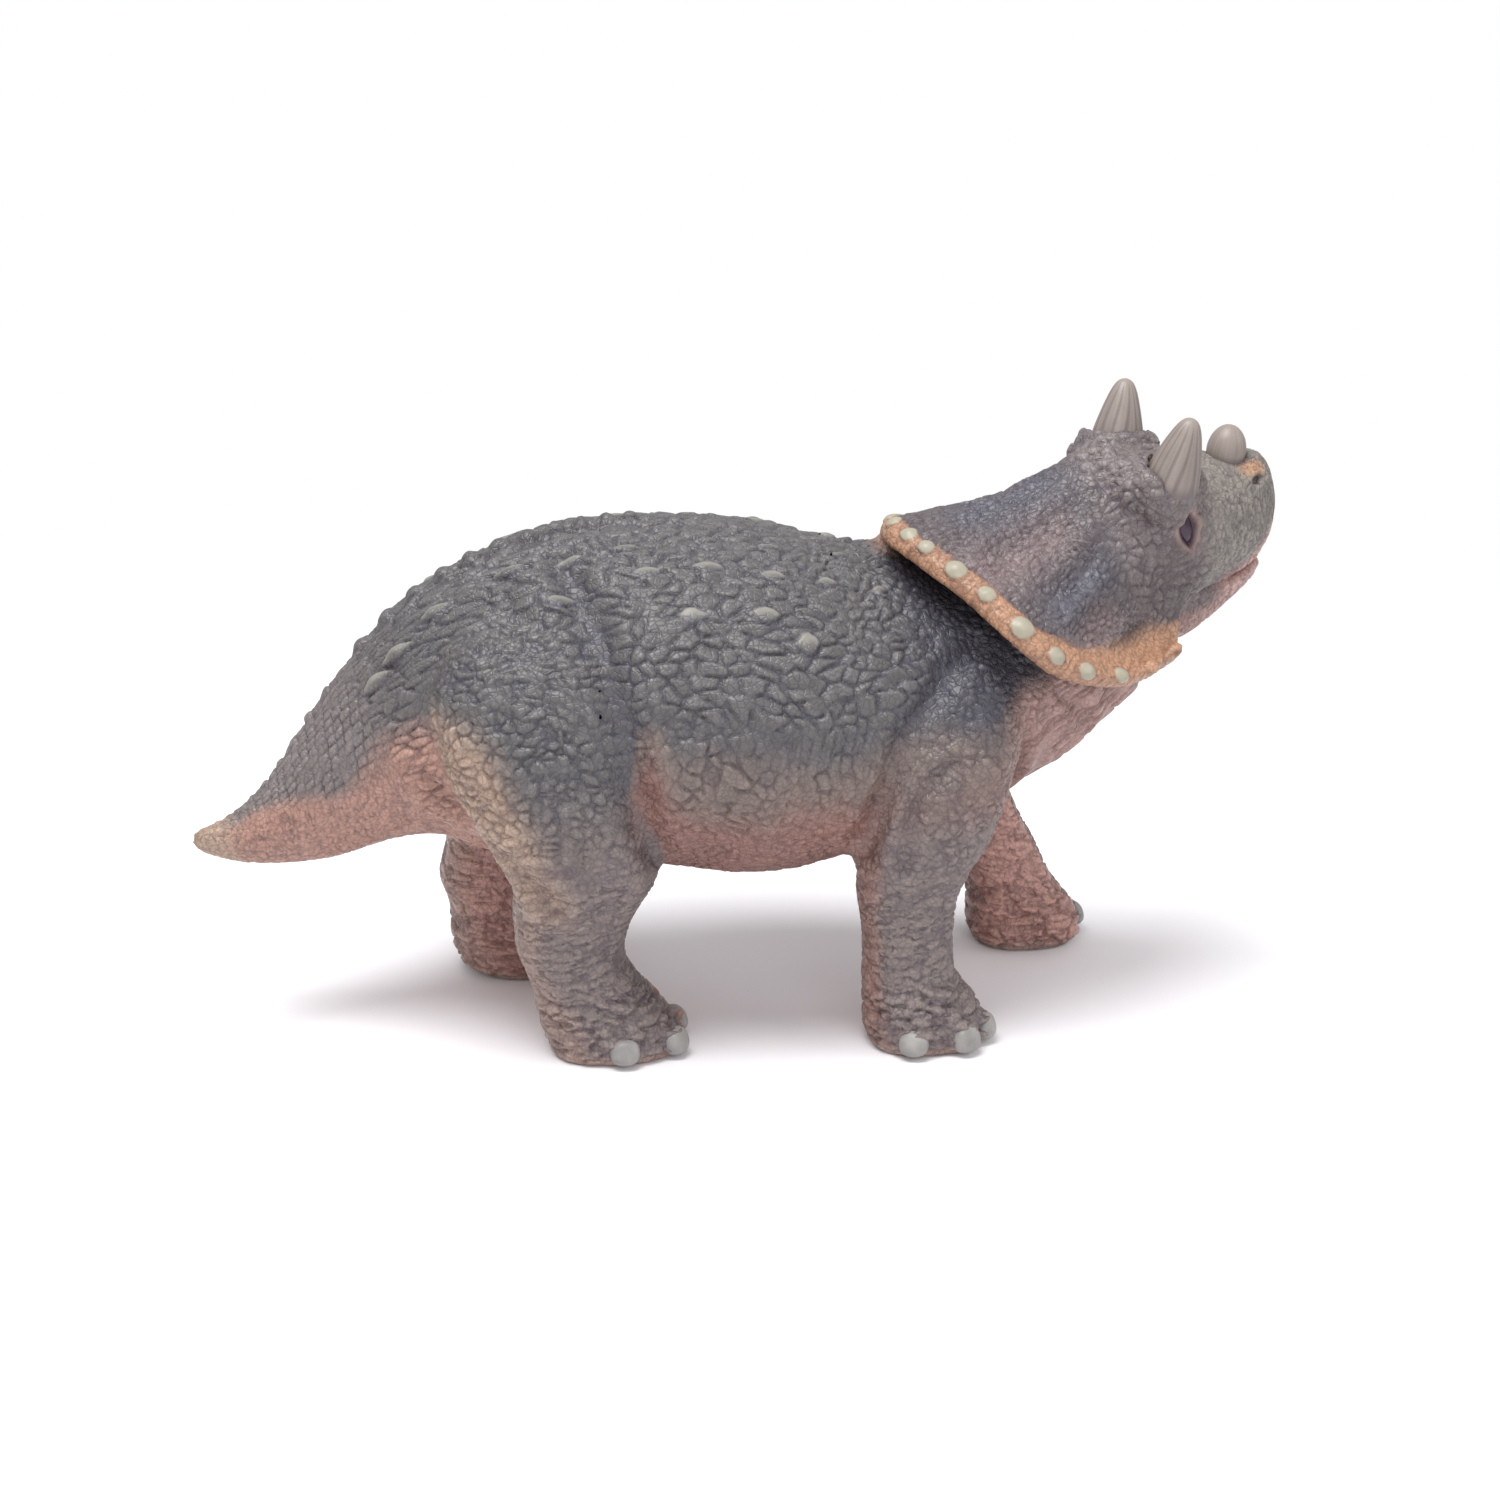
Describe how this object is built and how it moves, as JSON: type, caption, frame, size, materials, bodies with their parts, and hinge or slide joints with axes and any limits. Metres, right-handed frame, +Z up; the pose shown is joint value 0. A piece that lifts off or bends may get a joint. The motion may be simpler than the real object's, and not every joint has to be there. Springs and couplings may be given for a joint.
{
  "type": "toy dinosaur figure",
  "caption": "Walking young horned dinosaur with a studded neck frill, raised head and thick legs, as a small solid play figure that stands on its feet.",
  "frame": {"origin": "on the ground, under the middle of the figure's box", "axes": "+X along the body towards the head, +Y to the animal's left, +Z up"},
  "size_m": [0.1146, 0.0422, 0.0656],
  "materials": {
    "hide": "matt hand paint over moulded scales",
    "tail": "matt hand paint, fading to tan at the tip",
    "near_leg": "matt hand paint over moulded wrinkles",
    "far_leg": "matt reddish-brown hand paint",
    "head": "matt to satin hand paint, orange-brown rim",
    "jaw": "satin pink paint",
    "horn": "satin light taupe paint"
  },
  "bodies": {
    "root": {"trunk": "hide", "tail": "tail", "right_hind_leg": "near_leg", "right_fore_leg": "near_leg", "left_hind_leg": "far_leg", "left_fore_leg": "far_leg", "head": "head", "lower_jaw": "jaw", "right_brow_horn": "horn", "left_brow_horn": "horn", "nose_horn": "horn"}
  },
  "joints": []
}
